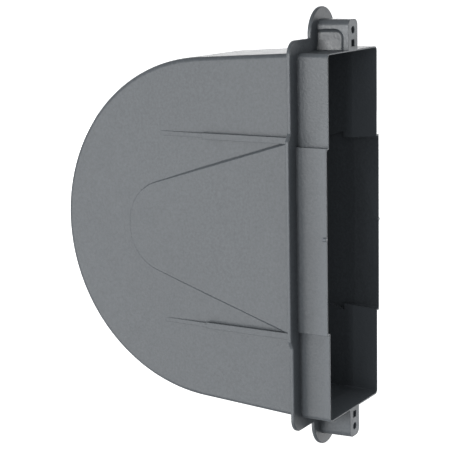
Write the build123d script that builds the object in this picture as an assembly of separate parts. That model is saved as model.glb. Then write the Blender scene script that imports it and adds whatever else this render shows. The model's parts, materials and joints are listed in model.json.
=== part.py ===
"""Recessed generator inlet box.

A flat D-shaped plastic housing goes into a wall and leaves a tall, narrow mouth in front.
A flanged male inlet with a sprung lid stands on a plate deep inside it, and the wiring
compartment with the cable gland is behind that plate.

Frame, in millimetres: the origin is the centre of the flange's back face, which bears on the
wall.  The mouth faces -Y, the housing reaches into the wall along +Y, +Z is up.
"""
from build123d import *
import math
import os

# Housing: driving dimensions
HALF_HEIGHT = 140.0     # outside of the neck, centre to top
HALF_WIDTH = 42.5       # outside of the neck, centre to side
WALL = 3.0
FLANGE_THICK = 3.0
NECK_LENGTH = 25.0      # flange front to mouth
MOUTH_Y = -(FLANGE_THICK + NECK_LENGTH)
ROUND_Y = 79.0          # centre of the rounded back
ROUND_R = 135.5
BACK_Y = ROUND_Y + ROUND_R
SIDE_LEAN = 3.75        # how far each flat side leans in, from the flange to the back
EDGE_ROUND = 3.5
INNER_ROUND = 1.2
MOUTH_WALL = 1.0        # the draft inside the mouth thins the wall to this
MOUTH_DRAFT = 20.0
MOUTH_CORNER = 2.0

# Wider middle of the neck, and the ramps that fade it out over the flat sides
BULGE = 3.5
BULGE_HALF_HEIGHT = 71.0
RAMP_START_Z = 75.8
RAMP_END_Y = 154.0
RAMP_END_Z = 28.5
RAMP_NOSE_RISE = 0.15
RAMP_NOSE_ROUND = 37.0
RAMP_BEVEL = 1.6
RIB_LOW_Z = 72.8
RIB_HIGH_Z = 77.6
RIB_LENGTH = 80.0
RIB_RISE = 3.4
RIB_TAIL_LOW_Z = 73.8
RIB_TAIL_HIGH_Z = 77.2
RIB_TAIL_END_Y = 122.0
RIB_TAIL_RISE = 1.9

# Flange, ears and screw columns
FLANGE_HALF_WIDTH = 54.2
FLANGE_HALF_HEIGHT = 149.6
FLANGE_CORNER = 11.0
FLANGE_STEP_Z = 76.0
FLANGE_STEP_RUN = 6.0
FLANGE_EDGE_ROUND = 0.8
EAR_Z = 152.0
EAR_R = 20.5
COLUMN_TOP_Z = 163.0
COLUMN_HALF_FRONT = 8.0
COLUMN_HALF_BACK = 10.0
COLUMN_CORNER = 5.0
WALL_SCREW_Z = 155.0
WALL_SCREW_HOLE_R = 2.75
SIDE_POCKET_WEB_X = -3.5  # the web's place at the pocket's high front corner
SIDE_POCKET_LEAN_Y = 0.22  # how far the web comes out for each mm towards the flange
SIDE_POCKET_LEAN_Z = 0.12  # and for each mm down
SIDE_POCKET_FRONT_Y = -24.0
SIDE_POCKET_TOP = 156.0
SIDE_POCKET_CORNER = 7.0
SIDE_POCKET_DISH = 3.0  # round between the pocket's wall and its web
NOTCH_HALF = 2.6
NOTCH_Z = 145.2
NOTCH_DEPTH = 9.0
CENTRE_MARK_Z = 3.0
CENTRE_MARK_R = 1.5

# Inlet plate and the posts that it is screwed to
PLATE_FRONT_Y = 76.0
PLATE_THICK = 3.0
PLATE_BACK_Y = PLATE_FRONT_Y + PLATE_THICK
PLATE_HALF_WIDTH = 37.6
PLATE_HALF_HEIGHT = 131.0
PLATE_CORNER = 3.0
POST_X = 24.0
POST_Z = 122.0
POST_HALF_WIDTH = 6.0
POST_LOW_Z = 115.0

# Inlet
GASKET_THICK = 1.5
INLET_FLANGE_R = 34.0
INLET_FLANGE_THICK = 4.0
INLET_FLANGE_BACK_Y = PLATE_FRONT_Y - GASKET_THICK
INLET_FLANGE_FRONT_Y = INLET_FLANGE_BACK_Y - INLET_FLANGE_THICK
RIM_FRONT_Y = INLET_FLANGE_FRONT_Y - 2.5
RIM_R = 26.0
CUP_R = 22.0
CUP_FLOOR_Y = 92.0
INLET_BACK_Y = 100.0
BARREL_R = 25.0
PANEL_HOLE_R = 25.4
INLET_SCREW_CIRCLE_R = 29.5
INLET_SCREW_R = 1.7
BLADE_R = 14.0
BLADE_THICK = 1.7
BLADE_HALF_ANGLE = 19.0
BLADE_TIP_Y = 71.0
BLADE_TAIL_Y = 113.0
TERMINAL_Y = (102.0, 112.0)
TERMINAL_OUTER_R = 21.5
TERMINAL_HALF_WIDTH = 4.5
WIRE_HOLE_R = 2.3
COVER_BACK_Y = 130.0
COVER_INNER_R = 23.0
COVER_SCREW_CIRCLE_R = 18.0
COVER_SCREW_R = 1.5
COVER_POST_R = 3.6
WIRE_EXIT_R = 9.0

# Lid and its hinge
HINGE_Y = 65.5
HINGE_Z = 37.0
PIN_R = 1.5
KNUCKLE_R = 3.2
LUG_X = (9.0, 13.0)
RUN_CLEARANCE = 0.05
SIDE_CLEARANCE = 0.3
LID_BACK_Y = 66.5
LID_THICK = 4.0
LID_R = 31.5
LID_CROWN = 2.2
SEAL_INNER_R = 22.5

# Cable gland in the hidden flat side
GLAND_Y = 160.0
GLAND_Z = -45.0
GLAND_PAD_X = (35.7, 40.7)
GLAND_PAD_R = 18.0
GLAND_THREAD_R = 10.0
GLAND_BORE_R = 7.0
GLAND_HEX_APOTHEM = 14.0
GLAND_LOCKNUT_APOTHEM = 13.0
GLAND_SEAT_X = GLAND_PAD_X[1] + 1.5     # outside of the gland's gasket


def about_y(points_r_y):
    """A solid of revolution about the Y axis, from (radius, y) points."""
    with BuildSketch(Plane.XY) as sketch:
        with BuildLine():
            Polyline(*points_r_y, close=True)
        make_face()
    return revolve(sketch.sketch, Axis.Y)


def ring_y(outer, inner, y_low, y_high):
    return about_y([(inner, y_low), (outer, y_low), (outer, y_high), (inner, y_high)])


def rod_y(radius, y_low, y_high, x=0.0, z=0.0):
    rod = Cylinder(radius, y_high - y_low, rotation=(-90, 0, 0))
    return Pos(x, (y_low + y_high) / 2, z) * rod


def rod_x(radius, x_low, x_high, y=0.0, z=0.0):
    rod = Cylinder(radius, x_high - x_low, rotation=(0, 90, 0))
    return Pos((x_low + x_high) / 2, y, z) * rod


def block(x_span, y_span, z_span):
    size = [high - low for low, high in (x_span, y_span, z_span)]
    middle = [(high + low) / 2 for low, high in (x_span, y_span, z_span)]
    return Pos(*middle) * Box(*size)


def turn_y(shape, degrees):
    return shape.rotate(Axis.Y, degrees)


def save(name, shape):
    solids = shape.solids()
    item = solids[0] if len(solids) == 1 else Compound(children=list(solids))
    export_step(item, f"parts/{name}.step")


# ---------------------------------------------------------------- housing

def side_lean_at(y):
    return SIDE_LEAN * y / BACK_Y


def d_outline(inset):
    """The D seen from the side: two straight runs that are tangent to the round back."""
    half = HALF_HEIGHT - inset
    radius = ROUND_R - inset
    reach = math.hypot(ROUND_Y, half)
    angle = math.atan2(half, -ROUND_Y) - math.acos(radius / reach)
    touch = (ROUND_Y + radius * math.cos(angle), radius * math.sin(angle))
    with BuildSketch(Plane.YZ) as sketch:
        with BuildLine():
            Line((0, half), touch)
            ThreePointArc(touch, (ROUND_Y + radius, 0), (touch[0], -touch[1]))
            Polyline((touch[0], -touch[1]), (0, -half), (0, half))
        make_face()
    return sketch.sketch


def leaning_sides(inset):
    """The plan between the two flat sides, which lean in towards the back."""
    front = HALF_WIDTH - inset
    back = front - SIDE_LEAN
    with BuildSketch(Plane.XY) as sketch:
        with BuildLine():
            Polyline((-front, 0), (-back, BACK_Y), (back, BACK_Y), (front, 0), close=True)
        make_face()
    return extrude(sketch.sketch, amount=2 * HALF_HEIGHT, both=True)


def d_body(inset):
    """The D behind the flange."""
    return extrude(d_outline(inset), amount=2 * HALF_WIDTH, both=True) & leaning_sides(inset)


def rounded_d_body(corner):
    body = d_body(0)
    side_x = HALF_WIDTH - SIDE_LEAN - 0.5
    rim = body.edges().filter_by(lambda e: abs(e.center().X) > side_x and e.center().Y > 1)
    return fillet(rim, corner)


def straight_neck(inset, corner, y_span):
    neck = block((inset - HALF_WIDTH, HALF_WIDTH - inset), y_span,
                 (inset - HALF_HEIGHT, HALF_HEIGHT - inset))
    return fillet(neck.edges().filter_by(Axis.Y), corner)


def mouth_draft(half_x, half_z):
    """The tapered cut inside the mouth, from its thin edge to the full wall."""
    sections = []
    for y, wall, corner in ((MOUTH_Y, MOUTH_WALL, MOUTH_CORNER),
                            (MOUTH_Y + MOUTH_DRAFT, WALL, INNER_ROUND)):
        with BuildSketch(Plane(origin=(0, y, 0), x_dir=(1, 0, 0), z_dir=(0, -1, 0))) as section:
            RectangleRounded(2 * (half_x - wall), 2 * (half_z - wall), corner)
        sections.append(section.sketch)
    return loft(sections)


def ramp(inset):
    """The raised middle of both flat sides, highest at the flange and gone at its nose."""
    start_z = RAMP_START_Z - inset
    end_z = RAMP_END_Z - inset
    with BuildSketch(Plane.YZ) as sketch:
        with BuildLine():
            Polyline((0, start_z), (RAMP_END_Y, end_z), (RAMP_END_Y, -end_z), (0, -start_z),
                     close=True)
        make_face()
        nose = sketch.vertices().filter_by(lambda v: v.X > RAMP_END_Y - 1)
        fillet(nose, RAMP_NOSE_ROUND - inset)
    high = HALF_WIDTH + BULGE - inset
    low = HALF_WIDTH - side_lean_at(RAMP_END_Y) + RAMP_NOSE_RISE - inset
    with BuildSketch(Plane.XY) as plan:
        with BuildLine():
            Polyline((-high, 0), (-low, RAMP_END_Y), (low, RAMP_END_Y), (high, 0), close=True)
        make_face()
    height = extrude(plan.sketch, amount=HALF_HEIGHT, both=True)
    return extrude(sketch.sketch, amount=2 * HALF_WIDTH, both=True) & height


def bevelled_ramp():
    """The ramp with a bevel round its high faces, which fades into the flat side at its nose."""
    body = ramp(0)
    low_x = HALF_WIDTH - SIDE_LEAN
    tops = body.faces().filter_by(lambda f: abs(f.center().X) > low_x)
    edges = [e for top in tops for e in top.edges() if e.center().Y > 1]
    return chamfer(edges, RAMP_BEVEL)


def bulged_neck(inset, mouth_y):
    half_x = HALF_WIDTH + BULGE - inset
    half_z = BULGE_HALF_HEIGHT - inset
    return block((-half_x, half_x), (mouth_y, 0), (-half_z, half_z))


def rib_plan(length_span, rise_span):
    """Half of a rib's plan on the +X side, between two heights above the leaning side."""
    (near_y, far_y), (near_rise, far_rise) = length_span, rise_span
    near_x = HALF_WIDTH - side_lean_at(near_y)
    far_x = HALF_WIDTH - side_lean_at(far_y)
    with BuildSketch(Plane.XY) as sketch:
        with BuildLine():
            Polyline((near_x - 1, near_y), (near_x + near_rise, near_y),
                     (far_x + far_rise, far_y), (far_x - 1, far_y), close=True)
        make_face()
    return sketch.sketch


def ribs():
    bar = extrude(rib_plan((-1.0, RIB_LENGTH), (RIB_RISE, RIB_RISE)),
                  amount=RIB_HIGH_Z - RIB_LOW_Z)
    bar = Pos(0, 0, RIB_LOW_Z) * bar
    tail = extrude(rib_plan((RIB_LENGTH - 1, RIB_TAIL_END_Y), (RIB_TAIL_RISE, 0.0)),
                   amount=RIB_TAIL_HIGH_Z - RIB_TAIL_LOW_Z)
    tail = Pos(0, 0, RIB_TAIL_LOW_Z) * tail
    one = bar + tail
    pair = one + mirror(one, Plane.XY)
    return pair + mirror(pair, Plane.YZ)


def flange():
    step_x = FLANGE_HALF_WIDTH + BULGE
    slope_z = FLANGE_STEP_Z + FLANGE_STEP_RUN
    quarter = [(step_x, FLANGE_STEP_Z), (FLANGE_HALF_WIDTH, slope_z),
               (FLANGE_HALF_WIDTH, FLANGE_HALF_HEIGHT)]
    right = [(x, -z) for x, z in reversed(quarter)] + quarter
    left = [(-x, z) for x, z in reversed(right)]
    with BuildSketch(Plane.XZ) as sketch:
        with BuildLine():
            Polyline(*right, *left, close=True)
        make_face()
        corners = sketch.vertices().filter_by(lambda v: abs(v.Y) > FLANGE_HALF_HEIGHT - 1)
        fillet(corners, FLANGE_CORNER)
        with Locations((0, EAR_Z), (0, -EAR_Z)):
            Circle(EAR_R)
    plate = extrude(sketch.sketch, amount=FLANGE_THICK)
    rims = plate.edges().filter_by(lambda e: abs((e % 0.5).Y) < 0.1)
    return fillet(rims, FLANGE_EDGE_ROUND)


def side_pocket():
    """A dished pocket in the column's -X side, deepest at its high front corner."""
    front_y = SIDE_POCKET_FRONT_Y
    outside_x = -COLUMN_HALF_BACK - 4
    with BuildSketch(Plane.YZ.offset(outside_x)) as outline:
        with BuildLine():
            Polyline((front_y, HALF_HEIGHT), (0, HALF_HEIGHT), (0, SIDE_POCKET_TOP),
                     (front_y, SIDE_POCKET_TOP), close=True)
        make_face()
        high_front = outline.vertices().filter_by(
            lambda v: v.Y > SIDE_POCKET_TOP - 1 and v.X < front_y + 1)
        fillet(high_front, SIDE_POCKET_CORNER)
    prism = extrude(outline.sketch, amount=COLUMN_HALF_BACK + 2)
    web_plane = Plane(origin=(SIDE_POCKET_WEB_X, front_y, SIDE_POCKET_TOP),
                      z_dir=(1, SIDE_POCKET_LEAN_Y, -SIDE_POCKET_LEAN_Z))
    hollow = split(prism, bisect_by=web_plane, keep=Keep.BOTTOM)
    web = hollow.faces().sort_by(Axis.X)[-1]
    rim = web.edges().filter_by(lambda e: e.center().Z > HALF_HEIGHT + 1 and e.center().Y < -1)
    return fillet(rim, SIDE_POCKET_DISH)


def screw_column():
    """The upper screw column: it runs from the flange to the mouth, over the neck."""
    sections = []
    base_z = HALF_HEIGHT - WALL
    for y, half in ((MOUTH_Y, COLUMN_HALF_FRONT), (-1.0, COLUMN_HALF_BACK)):
        with BuildSketch(Plane(origin=(0, y, 0), x_dir=(1, 0, 0), z_dir=(0, -1, 0))) as section:
            with BuildLine():
                Polyline((-half, base_z), (half, base_z), (half, COLUMN_TOP_Z),
                         (-half, COLUMN_TOP_Z), close=True)
            make_face()
            top = section.vertices().filter_by(lambda v: v.Y > COLUMN_TOP_Z - 1)
            fillet(top, COLUMN_CORNER)
        sections.append(section.sketch)
    column = loft(sections)
    return column - side_pocket() - block((-NOTCH_HALF, NOTCH_HALF),
                                          (MOUTH_Y - 1, MOUTH_Y + NOTCH_DEPTH),
                                          (NOTCH_Z - NOTCH_HALF, NOTCH_Z + NOTCH_HALF))


def plate_posts():
    """Four posts that stand on the curved back wall and carry the inlet plate."""
    posts = Part()
    for side_x in (-1, 1):
        for side_z in (-1, 1):
            x_span = sorted((side_x * (POST_X - POST_HALF_WIDTH),
                             side_x * (POST_X + POST_HALF_WIDTH)))
            z_span = sorted((side_z * POST_LOW_Z, side_z * HALF_HEIGHT))
            posts += block(x_span, (PLATE_BACK_Y, BACK_Y - 70), z_span)
    return posts & d_body(WALL - 0.5)


def post_places():
    return [(x, z) for x in (-POST_X, POST_X) for z in (-POST_Z, POST_Z)]


def housing():
    column = screw_column()
    body = flange() + straight_neck(0, EDGE_ROUND, (MOUTH_Y, -FLANGE_THICK / 2))
    body += rounded_d_body(EDGE_ROUND)
    body += bulged_neck(0, MOUTH_Y) + bevelled_ramp() + ribs() + column + turn_y(column, 180)
    body -= d_body(WALL)
    body -= straight_neck(WALL, INNER_ROUND, (MOUTH_Y - 1, 0))
    body -= bulged_neck(WALL, MOUTH_Y - 1)
    body -= mouth_draft(HALF_WIDTH, HALF_HEIGHT)
    body -= mouth_draft(HALF_WIDTH + BULGE, BULGE_HALF_HEIGHT)
    body -= ramp(WALL)
    body += plate_posts()
    pad = rod_x(GLAND_PAD_R, *GLAND_PAD_X, y=GLAND_Y, z=GLAND_Z)
    body += pad
    body -= rod_x(GLAND_THREAD_R + RUN_CLEARANCE, 30, 50, y=GLAND_Y, z=GLAND_Z)
    for x, z in post_places():
        body -= rod_y(1.8, PLATE_BACK_Y - 1, PLATE_BACK_Y + 14, x, z)
    for z in (-WALL_SCREW_Z, WALL_SCREW_Z):
        body -= rod_y(WALL_SCREW_HOLE_R, MOUTH_Y - 1, 1, z=z)
    for side in (-1, 1):
        mark_x = side * (HALF_WIDTH + BULGE)
        body += rod_y(CENTRE_MARK_R, MOUTH_Y, MOUTH_Y + 3, mark_x, CENTRE_MARK_Z)
    return body


# ---------------------------------------------------------------- inlet plate and screws

def inlet_plate():
    with BuildSketch(Plane.XZ.offset(-PLATE_BACK_Y)) as sketch:
        RectangleRounded(2 * PLATE_HALF_WIDTH, 2 * PLATE_HALF_HEIGHT, PLATE_CORNER)
    plate = extrude(sketch.sketch, amount=PLATE_THICK)
    plate -= rod_y(PANEL_HOLE_R, PLATE_FRONT_Y - 1, PLATE_BACK_Y + 1)
    for x, z in post_places():
        plate -= rod_y(1.8, PLATE_FRONT_Y - 1, PLATE_BACK_Y + 1, x, z)
    for x, z in inlet_screw_places():
        plate -= rod_y(INLET_SCREW_R + RUN_CLEARANCE, PLATE_FRONT_Y - 1, PLATE_BACK_Y + 1, x, z)
    return plate


def pan_screw(head_r, head_height, shank_r, seat_y, tip_y):
    """A cross-recessed screw along +Y, with its head in front of the seat."""
    head = rod_y(head_r, seat_y - head_height, seat_y)
    front = head.edges().filter_by(lambda e: e.center().Y < seat_y - head_height / 2)
    head = fillet(front, head_height * 0.45)
    slot = block((-head_r * 0.55, head_r * 0.55),
                 (seat_y - head_height - 1, seat_y - head_height * 0.45),
                 (-head_r * 0.11, head_r * 0.11))
    return head + rod_y(shank_r, seat_y, tip_y) - slot - turn_y(slot, 90)


def place_all(shape, places):
    return Compound(children=[Pos(x, 0, z) * shape for x, z in places])


def circle_places(radius, angles):
    return [(radius * math.cos(math.radians(a)), radius * math.sin(math.radians(a)))
            for a in angles]


def inlet_screw_places():
    return circle_places(INLET_SCREW_CIRCLE_R, (45, 135, 225, 315))


def cover_screw_places():
    return circle_places(COVER_SCREW_CIRCLE_R, (45, 225))


def inlet_nut():
    with BuildSketch(Plane.XZ.offset(-PLATE_BACK_Y - 2.4)) as sketch:
        RegularPolygon(3.2, 6, major_radius=False)
    nut = extrude(sketch.sketch, amount=2.4)
    return nut - rod_y(INLET_SCREW_R + RUN_CLEARANCE, PLATE_BACK_Y - 1, PLATE_BACK_Y + 4)


# ---------------------------------------------------------------- inlet

def blade(hooked=False):
    """One curved locking blade, at the top of the blade circle."""
    half = math.radians(BLADE_HALF_ANGLE)
    with BuildSketch(Plane.XZ.offset(-BLADE_TAIL_Y)) as sketch:
        outer = BLADE_R + BLADE_THICK
        sides = []
        for radius in (BLADE_R, outer):
            sides.append([(radius * math.sin(a), radius * math.cos(a)) for a in (-half, 0, half)])
        with BuildLine():
            ThreePointArc(*sides[0])
            Line(sides[0][2], sides[1][2])
            ThreePointArc(*reversed(sides[1]))
            Line(sides[1][0], sides[0][0])
        make_face()
    body = extrude(sketch.sketch, amount=BLADE_TAIL_Y - BLADE_TIP_Y)
    if hooked:
        body += block((-0.85, 0.85), (BLADE_TIP_Y, CUP_FLOOR_Y + 4), (BLADE_R - 4.0, BLADE_R + 0.5))
    lock = block((1.2, 9.0), (BLADE_TIP_Y + 5, BLADE_TIP_Y + 9.5), (BLADE_R - 3, BLADE_R + 5))
    return body - lock


def blade_at(degrees, hooked=False):
    return turn_y(blade(hooked), degrees)


HOT_ANGLES = (0, 180)
NEUTRAL_ANGLE = 90
GROUND_ANGLE = 270


def all_blades():
    plain = [blade_at(a) for a in (*HOT_ANGLES, NEUTRAL_ANGLE)]
    return plain + [blade_at(GROUND_ANGLE, hooked=True)]


def hinge_lugs():
    tab = block((-14, 14), (INLET_FLANGE_FRONT_Y, INLET_FLANGE_BACK_Y), (26, 41.5))
    lug = block(LUG_X, (HINGE_Y, INLET_FLANGE_FRONT_Y), (33.5, 40.2))
    lug += rod_x(KNUCKLE_R, *LUG_X, y=HINGE_Y, z=HINGE_Z)
    return tab + lug + mirror(lug, Plane.YZ)


def inlet_body():
    body = about_y([(0, CUP_FLOOR_Y), (CUP_R, CUP_FLOOR_Y), (CUP_R, RIM_FRONT_Y),
                    (RIM_R, RIM_FRONT_Y), (RIM_R, INLET_FLANGE_FRONT_Y),
                    (INLET_FLANGE_R, INLET_FLANGE_FRONT_Y), (INLET_FLANGE_R, INLET_FLANGE_BACK_Y),
                    (BARREL_R, INLET_FLANGE_BACK_Y), (BARREL_R, INLET_BACK_Y),
                    (0, INLET_BACK_Y)])
    body += hinge_lugs()
    body -= rod_x(PIN_R, -20, 20, y=HINGE_Y, z=HINGE_Z)
    for one in all_blades():
        body -= one
    for x, z in inlet_screw_places():
        body -= rod_y(INLET_SCREW_R + RUN_CLEARANCE, RIM_FRONT_Y, INLET_FLANGE_BACK_Y + 1, x, z)
    for x, z in cover_screw_places():
        body -= rod_y(COVER_SCREW_R + RUN_CLEARANCE, INLET_BACK_Y - 6, INLET_BACK_Y + 1, x, z)
    return body


def inlet_gasket():
    ring = ring_y(INLET_FLANGE_R - 0.5, PANEL_HOLE_R, INLET_FLANGE_BACK_Y, PLATE_FRONT_Y)
    for x, z in inlet_screw_places():
        ring -= rod_y(INLET_SCREW_R + RUN_CLEARANCE, INLET_FLANGE_BACK_Y - 1, PLATE_FRONT_Y + 1,
                      x, z)
    return ring


def terminal_clamp():
    """A brass box clamp on a blade's tail, at the top of the blade circle."""
    inner = BLADE_R + BLADE_THICK
    y_middle = sum(TERMINAL_Y) / 2
    box = block((-TERMINAL_HALF_WIDTH, TERMINAL_HALF_WIDTH), TERMINAL_Y,
                (inner - 1.0, TERMINAL_OUTER_R))
    box -= rod_y(inner, TERMINAL_Y[0] - 1, TERMINAL_Y[1] + 1)
    box -= rod_y(WIRE_HOLE_R, TERMINAL_Y[0] + 2, TERMINAL_Y[1] + 1, z=inner + WIRE_HOLE_R - 0.6)
    screw_hole = Pos(0, y_middle, TERMINAL_OUTER_R - 1) * Cylinder(1.55, 6)
    return box - screw_hole


def terminal_screw():
    y_middle = sum(TERMINAL_Y) / 2
    low = TERMINAL_OUTER_R - 2.6
    shank = Pos(0, y_middle, (low + TERMINAL_OUTER_R) / 2) * Cylinder(1.5, TERMINAL_OUTER_R - low)
    head = Pos(0, y_middle, TERMINAL_OUTER_R + 0.6) * Cylinder(2.4, 1.2)
    slot = block((-2.5, 2.5), (y_middle - 0.35, y_middle + 0.35),
                 (TERMINAL_OUTER_R + 0.5, TERMINAL_OUTER_R + 2))
    return head + shank - slot


def around_blades(shape):
    turned = [turn_y(shape, a) for a in (*HOT_ANGLES, NEUTRAL_ANGLE, GROUND_ANGLE)]
    return Compound(children=turned)


def terminal_cover():
    cup = about_y([(WIRE_EXIT_R, COVER_BACK_Y), (BARREL_R, COVER_BACK_Y),
                   (BARREL_R, INLET_BACK_Y), (COVER_INNER_R, INLET_BACK_Y),
                   (COVER_INNER_R, COVER_BACK_Y - 3), (WIRE_EXIT_R, COVER_BACK_Y - 3)])
    for x, z in cover_screw_places():
        cup += rod_y(COVER_POST_R, INLET_BACK_Y, COVER_BACK_Y, x, z)
    for x, z in cover_screw_places():
        cup -= rod_y(COVER_SCREW_R + RUN_CLEARANCE, INLET_BACK_Y - 1, COVER_BACK_Y + 1, x, z)
    return cup


def cover_screw():
    """A pan screw that points forward, with its head on the cover's back."""
    forward = pan_screw(2.8, 2.0, COVER_SCREW_R, 0, COVER_BACK_Y - INLET_BACK_Y + 5)
    return Pos(0, COVER_BACK_Y, 0) * forward.rotate(Axis.Z, 180)


# ---------------------------------------------------------------- lid

def inlet_lid():
    front = LID_BACK_Y - LID_THICK
    lid = about_y([(0, LID_BACK_Y), (LID_R, LID_BACK_Y), (LID_R, front + 1),
                   (LID_R - 1.5, front), (LID_R * 0.55, front - LID_CROWN * 0.8),
                   (0, front - LID_CROWN)])
    knuckle_x = LUG_X[0] - SIDE_CLEARANCE
    lid += block((-knuckle_x, knuckle_x), (front, LID_BACK_Y), (26, HINGE_Z))
    lid += rod_x(KNUCKLE_R, -knuckle_x, knuckle_x, y=HINGE_Y, z=HINGE_Z)
    lid += block((-8, 8), (front, front + 2.5), (-38, -30))
    lid -= block((-4.2, 4.2), (front - 5, LID_BACK_Y + 8), (HINGE_Z - 4.2, HINGE_Z + 5))
    return lid - rod_x(PIN_R + RUN_CLEARANCE, -20, 20, y=HINGE_Y, z=HINGE_Z)


def hinge_spring():
    """The close-wound torsion spring round the middle of the pin, and its fixed leg."""
    coil = rod_x(2.6, -3.6, 3.6, y=HINGE_Y, z=HINGE_Z)
    coil -= rod_x(1.8, -4, 4, y=HINGE_Y, z=HINGE_Z)
    leg = rod_y(0.4, HINGE_Y, INLET_FLANGE_FRONT_Y, x=3.2, z=HINGE_Z + 2.2)
    return coil + leg


# ---------------------------------------------------------------- cable gland

def gland_rod(radius, x_low, x_high):
    return rod_x(radius, x_low, x_high, y=GLAND_Y, z=GLAND_Z)


def gland_hexagon(apothem, x_low, x_high):
    with BuildSketch(Plane.YZ.offset(x_low)) as sketch:
        RegularPolygon(apothem, 6, major_radius=False)
    return Pos(0, GLAND_Y, GLAND_Z) * extrude(sketch.sketch, amount=x_high - x_low)


def gland_body():
    inner_end = GLAND_PAD_X[0] - 7
    body = gland_rod(GLAND_THREAD_R, inner_end, GLAND_SEAT_X + 14)
    body += gland_hexagon(GLAND_HEX_APOTHEM, GLAND_SEAT_X, GLAND_SEAT_X + 6)
    return body - gland_rod(GLAND_BORE_R, inner_end - 1, GLAND_SEAT_X + 15)


def gland_nut():
    nut = gland_hexagon(GLAND_HEX_APOTHEM, GLAND_SEAT_X + 6.6, GLAND_SEAT_X + 15)
    nut += gland_rod(GLAND_HEX_APOTHEM - 1, GLAND_SEAT_X + 15, GLAND_SEAT_X + 22)
    nut -= gland_rod(GLAND_THREAD_R + RUN_CLEARANCE, GLAND_SEAT_X, GLAND_SEAT_X + 20)
    return nut - gland_rod(GLAND_BORE_R + 0.6, GLAND_SEAT_X, GLAND_SEAT_X + 23)


def gland_seal():
    seal = gland_rod(GLAND_THREAD_R - 0.1, GLAND_SEAT_X + 14, GLAND_SEAT_X + 20)
    return seal - gland_rod(GLAND_BORE_R, GLAND_SEAT_X + 13, GLAND_SEAT_X + 21)


def gland_gasket():
    gasket = gland_rod(GLAND_HEX_APOTHEM - 0.5, GLAND_PAD_X[1], GLAND_SEAT_X)
    return gasket - gland_rod(GLAND_THREAD_R + RUN_CLEARANCE, 30, 50)


def gland_locknut():
    nut = gland_hexagon(GLAND_LOCKNUT_APOTHEM, GLAND_PAD_X[0] - 4, GLAND_PAD_X[0])
    return nut - gland_rod(GLAND_THREAD_R + RUN_CLEARANCE, 25, 40)


# ---------------------------------------------------------------- everything

def main():
    os.makedirs("parts", exist_ok=True)
    save("housing", housing())
    save("inlet_plate", inlet_plate())
    save("plate_screws", place_all(pan_screw(3.6, 2.5, 1.75, PLATE_FRONT_Y, PLATE_BACK_Y + 12),
                                   post_places()))
    save("inlet_body", inlet_body())
    save("inlet_gasket", inlet_gasket())
    save("inlet_screws", place_all(pan_screw(2.9, 2.0, INLET_SCREW_R, INLET_FLANGE_FRONT_Y,
                                             PLATE_BACK_Y + 4), inlet_screw_places()))
    save("inlet_nuts", place_all(inlet_nut(), inlet_screw_places()))
    save("hot_blades", Compound(children=[blade_at(a) for a in HOT_ANGLES]))
    save("neutral_blade", blade_at(NEUTRAL_ANGLE))
    save("ground_blade", blade_at(GROUND_ANGLE, hooked=True))
    save("terminal_clamps", around_blades(terminal_clamp()))
    save("terminal_screws", around_blades(terminal_screw()))
    save("terminal_cover", terminal_cover())
    save("cover_screws", place_all(cover_screw(), cover_screw_places()))
    save("inlet_lid", inlet_lid())
    save("lid_seal", ring_y(RIM_R, SEAL_INNER_R, LID_BACK_Y, RIM_FRONT_Y))
    save("hinge_pin", rod_x(PIN_R, -14.5, 14.5, y=HINGE_Y, z=HINGE_Z))
    save("hinge_spring", hinge_spring())
    save("gland_body", gland_body())
    save("gland_nut", gland_nut())
    save("gland_seal", gland_seal())
    save("gland_gasket", gland_gasket())
    save("gland_locknut", gland_locknut())


main()
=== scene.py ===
"""Recessed generator inlet box: its looks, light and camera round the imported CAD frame.

Row frame, in metres: the mouth faces -Y, the housing goes into the wall along +Y, +Z is up.
"""

import json
import math

import bpy
from mathutils import Matrix, Vector


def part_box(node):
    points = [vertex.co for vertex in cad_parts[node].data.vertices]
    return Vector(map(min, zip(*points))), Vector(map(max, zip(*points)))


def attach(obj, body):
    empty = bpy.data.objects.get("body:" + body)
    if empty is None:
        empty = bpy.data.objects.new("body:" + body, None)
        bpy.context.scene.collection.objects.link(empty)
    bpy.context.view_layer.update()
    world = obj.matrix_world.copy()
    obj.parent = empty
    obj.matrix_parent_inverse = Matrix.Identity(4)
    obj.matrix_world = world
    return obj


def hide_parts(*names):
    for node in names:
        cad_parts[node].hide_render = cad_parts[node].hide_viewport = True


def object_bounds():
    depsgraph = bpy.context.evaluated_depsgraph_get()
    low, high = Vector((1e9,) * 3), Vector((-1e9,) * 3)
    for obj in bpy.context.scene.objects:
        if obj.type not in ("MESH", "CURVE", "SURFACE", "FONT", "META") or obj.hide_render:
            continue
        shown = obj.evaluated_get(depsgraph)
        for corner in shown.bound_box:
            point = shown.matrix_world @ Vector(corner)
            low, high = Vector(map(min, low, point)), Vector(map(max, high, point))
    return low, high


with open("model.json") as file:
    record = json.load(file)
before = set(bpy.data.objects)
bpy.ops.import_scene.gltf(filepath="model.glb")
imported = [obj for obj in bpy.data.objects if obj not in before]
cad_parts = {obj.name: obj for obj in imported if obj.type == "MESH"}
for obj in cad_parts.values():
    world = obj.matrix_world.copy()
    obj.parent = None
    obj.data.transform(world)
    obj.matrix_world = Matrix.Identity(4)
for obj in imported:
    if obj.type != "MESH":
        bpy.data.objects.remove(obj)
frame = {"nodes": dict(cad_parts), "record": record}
cad_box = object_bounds()

# Camera: where it stands and how it is turned
VIEW_AZIMUTH = math.radians(-59.13)
VIEW_ELEVATION = math.radians(10.83)
VIEW_ROLL = math.radians(-1.24)
CAMERA_PLACE = Vector((-0.9938, -0.5065, 0.2189))
LENS_MM = 116.9
SENSOR_MM = 36.0

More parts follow.
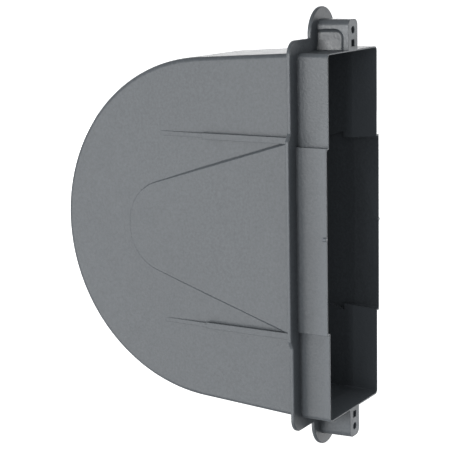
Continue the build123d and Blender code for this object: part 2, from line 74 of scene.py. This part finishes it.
# Lamps: name, direction from the object towards the lamp, distance, width, height, watts
LAMPS = (
    ("key", (-0.80, 0.58, -0.24), 1.5, 1.1, 1.5, 13.5),
    ("back", (0.82, 0.54, 0.22), 2.2, 1.6, 1.2, 12.0),
    ("front", (0.84, -0.52, -0.14), 2.0, 1.1, 1.5, 8.0),
    ("mouth", (0.30, -0.95, 0.08), 2.4, 0.7, 0.7, 11.0),
    ("left", (-0.985, 0.05, 0.145), 1.5, 0.38, 0.4, 13.0),
)
SURROUND_STRENGTH = 0.45
SURROUND_COLOUR = (0.96, 0.98, 1.0, 1.0)
WHITE = (1.0, 1.0, 1.0, 1.0)
FLOOR_HALF = 30.0
FLOOR_GLOW = 0.93
FLOOR_GAP = 0.0005  # between the floor and the object's lowest point
CENTRE = Vector((0.0, 0.09, 0.0))

# Rounding that the materials give to sharp edges
PLASTIC_EDGE = 0.0006
RUBBER_EDGE = 0.0004
METAL_EDGE = 0.0003

# Wire spring on the hinge pin
WIRE_R = 0.0004
SPRING_TURNS = 6
SPRING_STEPS = 16
COIL_HALF_LENGTH = 0.0029
INLET_FLANGE_DEPTH = 0.0060  # from the inlet's front to its flange, where the fixed leg rests
FIXED_LEG_LIFT = 0.0008
FIXED_LEG_RISE = 0.0028
LID_LEG_DROP = 0.0020
LID_LEG_INSET = 0.0005
LID_LEG_BELOW_TOP = 0.0120


# ---------------------------------------------------------------- material helpers

class Nodes:
    """A material's node tree, with short calls for the nodes used here."""

    def __init__(self, name):
        self.material = bpy.data.materials.new(name)
        self.material.use_nodes = True
        self.tree = self.material.node_tree
        self.shader = self.tree.nodes["Principled BSDF"]
        self.place = self.tree.nodes.new("ShaderNodeTexCoord").outputs["Object"]

    def link(self, out, into):
        self.tree.links.new(out, into)

    def stretched(self, scale):
        """Object coordinates, in metres, scaled by a different amount along each axis."""
        node = self.tree.nodes.new("ShaderNodeMapping")
        node.inputs["Scale"].default_value = scale
        self.link(self.place, node.inputs["Vector"])
        return node.outputs["Vector"]

    def noise(self, scale, detail=2.0, roughness=0.5, place=None):
        node = self.tree.nodes.new("ShaderNodeTexNoise")
        node.inputs["Scale"].default_value = scale
        node.inputs["Detail"].default_value = detail
        node.inputs["Roughness"].default_value = roughness
        self.link(place or self.place, node.inputs["Vector"])
        return node.outputs["Fac"]

    def cells(self, scale):
        node = self.tree.nodes.new("ShaderNodeTexVoronoi")
        node.feature = "SMOOTH_F1"
        node.inputs["Scale"].default_value = scale
        node.inputs["Smoothness"].default_value = 0.6
        self.link(self.place, node.inputs["Vector"])
        return node.outputs["Distance"]

    def ramp(self, value, low, high, low_at=0.3, high_at=0.7):
        """Two greys or colours, mixed by a value."""
        node = self.tree.nodes.new("ShaderNodeValToRGB")
        first, last = node.color_ramp.elements
        first.position, last.position = low_at, high_at
        first.color, last.color = as_rgba(low), as_rgba(high)
        self.link(value, node.inputs["Fac"])
        return node.outputs["Color"]

    def mix(self, factor, first, second):
        node = self.tree.nodes.new("ShaderNodeMix")
        node.data_type = "RGBA"
        for socket, value in (("Factor_Float", factor), ("A_Color", first), ("B_Color", second)):
            target = next(s for s in node.inputs if s.identifier == socket)
            if isinstance(value, bpy.types.NodeSocket):
                self.link(value, target)
            elif socket == "Factor_Float":
                target.default_value = value
            else:
                target.default_value = as_rgba(value)
        return next(s for s in node.outputs if s.identifier == "Result_Color")

    def edges(self, low_at=0.52, high_at=0.60):
        """1 on outside edges and 0 elsewhere."""
        sharp = self.tree.nodes.new("ShaderNodeNewGeometry").outputs["Pointiness"]
        return self.ramp(sharp, 0.0, 1.0, low_at, high_at)

    def bump(self, height, distance, strength=1.0, under=None):
        node = self.tree.nodes.new("ShaderNodeBump")
        node.inputs["Strength"].default_value = strength
        node.inputs["Distance"].default_value = distance
        self.link(height, node.inputs["Height"])
        if under:
            self.link(under, node.inputs["Normal"])
        return node.outputs["Normal"]

    def soft_corners(self, radius):
        node = self.tree.nodes.new("ShaderNodeBevel")
        node.samples = 8
        node.inputs["Radius"].default_value = radius
        return node.outputs["Normal"]

    def finish(self, colour, roughness, normal, **uniform):
        self.link(colour, self.shader.inputs["Base Color"])
        self.link(roughness, self.shader.inputs["Roughness"])
        self.link(normal, self.shader.inputs["Normal"])
        for socket, value in uniform.items():
            self.shader.inputs[socket.replace("_", " ")].default_value = value
        return self.material


def as_rgba(value):
    if isinstance(value, (int, float)):
        return (value, value, value, 1.0)
    return (*value, 1.0)


# ---------------------------------------------------------------- materials

def moulded_plastic(name, colour, grain, grain_depth, roughness, edge_highlight_gain):
    """Moulded plastic: spark-eroded grain, slow colour drift and a painted highlight along its
    outside edges.
    """
    nodes = Nodes(name)
    drift = nodes.noise(9.0, 3.0)
    base = nodes.ramp(drift, [c * 0.94 for c in colour], [c * 1.06 for c in colour])
    speck = nodes.noise(grain, 2.0, 0.7)
    fine = nodes.ramp(speck, [c * 0.72 for c in colour], [c * 1.28 for c in colour])
    base = nodes.mix(0.5, base, fine)
    # painted highlight: outside edges are painted paler, standing in for light caught on their
    # rounding
    base = nodes.mix(nodes.edges(), base, [min(1.0, c * edge_highlight_gain) for c in colour])
    rough = nodes.ramp(nodes.noise(grain * 0.25, 2.0), roughness - 0.03, roughness + 0.03)
    normal = nodes.bump(nodes.noise(grain, 1.0), grain_depth, 1.0,
                        nodes.soft_corners(PLASTIC_EDGE))
    return nodes.finish(base, rough, normal, Specular_IOR_Level=0.5)


def housing_plastic():
    return moulded_plastic("moulded_grey_grain", (0.069, 0.077, 0.085), 470.0, 0.00013, 0.37, 1.5)


def plate_plastic():
    return moulded_plastic("plate_grey_grain", (0.105, 0.110, 0.114), 600.0, 0.00012, 0.50, 1.4)


def inlet_plastic():
    return moulded_plastic("nylon_black", (0.030, 0.030, 0.032), 500.0, 0.00001, 0.36, 1.8)


def lid_plastic():
    return moulded_plastic("lid_light_grey", (0.235, 0.242, 0.245), 700.0, 0.00003, 0.38, 1.3)


def gland_plastic():
    return moulded_plastic("gland_black", (0.035, 0.035, 0.037), 600.0, 0.00002, 0.42, 1.8)


def rubber():
    nodes = Nodes("moulded_rubber")
    bloom = nodes.ramp(nodes.noise(60.0, 5.0, 0.6), (0.012, 0.012, 0.012), (0.030, 0.029, 0.028))
    rough = nodes.ramp(nodes.noise(140.0, 3.0), 0.72, 0.9)
    normal = nodes.bump(nodes.cells(900.0), 0.00005, 0.6, nodes.soft_corners(RUBBER_EDGE))
    return nodes.finish(bloom, rough, normal, Specular_IOR_Level=0.35)


def worked_metal(name, dark, light, tarnish, roughness, along):
    """Metal with tool or drawing marks; along is small on the axis that the marks follow."""
    nodes = Nodes(name)
    marks = nodes.noise(1.0, 4.0, 0.7, nodes.stretched(along))
    base = nodes.ramp(marks, dark, light)
    stain = nodes.ramp(nodes.noise(85.0, 5.0, 0.62), 0.0, 0.55, 0.48, 0.72)
    base = nodes.mix(stain, base, tarnish)
    base = nodes.mix(nodes.edges(0.54, 0.64), base, [min(1.0, c * 1.15) for c in light])
    rough = nodes.ramp(marks, roughness - 0.07, roughness + 0.09)
    normal = nodes.bump(marks, 0.00003, 0.6, nodes.soft_corners(METAL_EDGE))
    return nodes.finish(base, rough, normal, Metallic=1.0)


def zinc_steel():
    return worked_metal("zinc_passivated", (0.50, 0.51, 0.53), (0.68, 0.68, 0.66),
                        (0.62, 0.57, 0.44), 0.36, (500.0, 2400.0, 500.0))


def stainless():
    return worked_metal("drawn_stainless", (0.52, 0.52, 0.53), (0.72, 0.72, 0.71),
                        (0.45, 0.43, 0.40), 0.26, (120.0, 4000.0, 4000.0))


def brass():
    return worked_metal("machined_brass", (0.62, 0.43, 0.17), (0.85, 0.64, 0.30),
                        (0.40, 0.26, 0.12), 0.30, (2600.0, 160.0, 2600.0))


def nickel():
    return worked_metal("dull_nickel", (0.58, 0.57, 0.54), (0.76, 0.74, 0.70),
                        (0.46, 0.43, 0.38), 0.32, (2600.0, 160.0, 2600.0))


SLOT_MATERIALS = {
    "housing_plastic": housing_plastic,
    "plate_plastic": plate_plastic,
    "inlet_plastic": inlet_plastic,
    "lid_plastic": lid_plastic,
    "gland_plastic": gland_plastic,
    "rubber": rubber,
    "zinc_steel": zinc_steel,
    "stainless": stainless,
    "brass": brass,
    "nickel": nickel,
}


def paint_cad_nodes(finishes):
    """Each CAD node takes the material of its slot in the record."""
    for part in frame["record"]["subparts"]:
        node = frame["nodes"][part["node"]]
        node.data.materials.clear()
        node.data.materials.append(finishes[part["material_slot"]])


# ---------------------------------------------------------------- hinge spring

def wire(name, points, radius, material):
    """A round wire along a list of points."""
    curve = bpy.data.curves.new(name, "CURVE")
    curve.dimensions = "3D"
    curve.bevel_depth = radius
    curve.bevel_resolution = 4
    curve.use_fill_caps = True
    spline = curve.splines.new("NURBS")
    spline.points.add(len(points) - 1)
    for point, place in zip(spline.points, points):
        point.co = (*place, 1.0)
    spline.order_u = 3
    spline.use_endpoint_u = True
    curve.resolution_u = 4
    curve.materials.append(material)
    piece = bpy.data.objects.new(name, curve)
    bpy.context.scene.collection.objects.link(piece)
    return piece


def spring_coil_point(axis_place, coil_r, turn):
    """A point on the coil; turn counts whole turns from its -X end."""
    angle = 2 * math.pi * turn
    x = -COIL_HALF_LENGTH + 2 * COIL_HALF_LENGTH * turn / SPRING_TURNS
    return axis_place + Vector((x, coil_r * math.cos(angle), coil_r * math.sin(angle)))


def hinge_spring(finish):
    """A wound torsion spring on the hinge pin: the coil and one leg stay, one leg is the lid's."""
    pin_low, pin_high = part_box("hinge_pin")
    axis_place = Vector((0.0, (pin_low.y + pin_high.y) / 2, (pin_low.z + pin_high.z) / 2))
    coil_r = (pin_high.y - pin_low.y) / 2 + 2 * WIRE_R
    steps = range(SPRING_TURNS * SPRING_STEPS + 1)
    coil = [spring_coil_point(axis_place, coil_r, i / SPRING_STEPS) for i in steps]

    end = coil[-1]
    flange_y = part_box("inlet_body")[0].y + INLET_FLANGE_DEPTH
    fixed_leg = [end + Vector((0.0, 0.0, FIXED_LEG_LIFT)),
                 Vector((end.x, flange_y, end.z + FIXED_LEG_RISE))]
    body = wire("hinge_spring_coil", coil + fixed_leg, WIRE_R, finish)
    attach(body, "box")
    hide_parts("hinge_spring")

    root = coil[0] + Vector((-WIRE_R, 0.0, 0.0))
    lid_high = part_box("inlet_lid")[1]
    tip = Vector((root.x, lid_high.y - LID_LEG_INSET, lid_high.z - LID_LEG_BELOW_TOP))
    lid_leg = [root, root + Vector((0.0, 0.0, -LID_LEG_DROP)), tip]
    leg = wire("hinge_spring_lid_leg", lid_leg, WIRE_R, finish)
    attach(leg, "lid")


# ---------------------------------------------------------------- stage

def studio_floor():
    """A wide, pale, softly glowing floor that only the camera sees."""
    floor_z = cad_box[0][2] - FLOOR_GAP
    mesh = bpy.data.meshes.new("studio_floor")
    corners = [(sx * FLOOR_HALF, sy * FLOOR_HALF, floor_z)
               for sx, sy in ((-1, -1), (1, -1), (1, 1), (-1, 1))]
    mesh.from_pydata(corners, [], [(0, 1, 2, 3)])
    floor = bpy.data.objects.new("studio_floor", mesh)
    bpy.context.scene.collection.objects.link(floor)
    nodes = Nodes("pale_paper")
    base = nodes.ramp(nodes.noise(3.0, 2.0), 0.86, 0.88)
    rough = nodes.ramp(nodes.noise(40.0, 2.0), 0.85, 0.95)
    normal = nodes.bump(nodes.noise(300.0), 0.0001, 0.2)
    mesh.materials.append(nodes.finish(base, rough, normal, Emission_Color=WHITE,
                                       Emission_Strength=FLOOR_GLOW))
    floor.visible_diffuse = False
    floor.visible_glossy = False
    floor.visible_shadow = False


def area_lamp(name, towards, distance, width, height, watts):
    data = bpy.data.lights.new(name, "AREA")
    data.shape = "RECTANGLE"
    data.size, data.size_y = width, height
    data.energy = watts
    lamp = bpy.data.objects.new(name, data)
    bpy.context.scene.collection.objects.link(lamp)
    direction = Vector(towards).normalized()
    lamp.location = CENTRE + direction * distance
    lamp.rotation_euler = direction.to_track_quat("Z", "Y").to_euler()
    lamp.visible_camera = False


def studio_world():
    """A dim surround that lights the object, with a white backdrop behind it for the camera."""
    world = bpy.data.worlds.new("studio")
    bpy.context.scene.world = world
    world.use_nodes = True
    tree = world.node_tree
    surround = tree.nodes["Background"]
    surround.inputs["Color"].default_value = SURROUND_COLOUR
    surround.inputs["Strength"].default_value = SURROUND_STRENGTH
    backdrop = tree.nodes.new("ShaderNodeBackground")
    backdrop.inputs["Color"].default_value = WHITE
    backdrop.inputs["Strength"].default_value = 1.0
    seen = tree.nodes.new("ShaderNodeLightPath")
    both = tree.nodes.new("ShaderNodeMixShader")
    tree.links.new(seen.outputs["Is Camera Ray"], both.inputs["Fac"])
    tree.links.new(surround.outputs["Background"], both.inputs[1])
    tree.links.new(backdrop.outputs["Background"], both.inputs[2])
    tree.links.new(both.outputs["Shader"], tree.nodes["World Output"].inputs["Surface"])


def lights():
    for lamp in LAMPS:
        area_lamp(*lamp)
    studio_world()
    bpy.context.scene.view_settings.view_transform = "Standard"


def camera():
    data = bpy.data.cameras.new("camera")
    data.sensor_width = SENSOR_MM
    data.lens = LENS_MM
    data.clip_start = 0.01
    back = Vector((math.sin(VIEW_AZIMUTH) * math.cos(VIEW_ELEVATION),
                   -math.cos(VIEW_AZIMUTH) * math.cos(VIEW_ELEVATION),
                   math.sin(VIEW_ELEVATION)))
    level_right = (-back).cross(Vector((0.0, 0.0, 1.0))).normalized()
    level_up = level_right.cross(-back)
    right = math.cos(VIEW_ROLL) * level_right + math.sin(VIEW_ROLL) * level_up
    up = -math.sin(VIEW_ROLL) * level_right + math.cos(VIEW_ROLL) * level_up
    view = bpy.data.objects.new("camera", data)
    bpy.context.scene.collection.objects.link(view)
    turn = Matrix((right, up, back)).transposed().to_4x4()
    view.matrix_world = Matrix.Translation(CAMERA_PLACE) @ turn
    bpy.context.scene.camera = view


# ---------------------------------------------------------------- everything

def main():
    finishes = {slot: make() for slot, make in SLOT_MATERIALS.items()}
    paint_cad_nodes(finishes)
    hinge_spring(finishes["stainless"])
    studio_floor()
    lights()
    camera()


main()
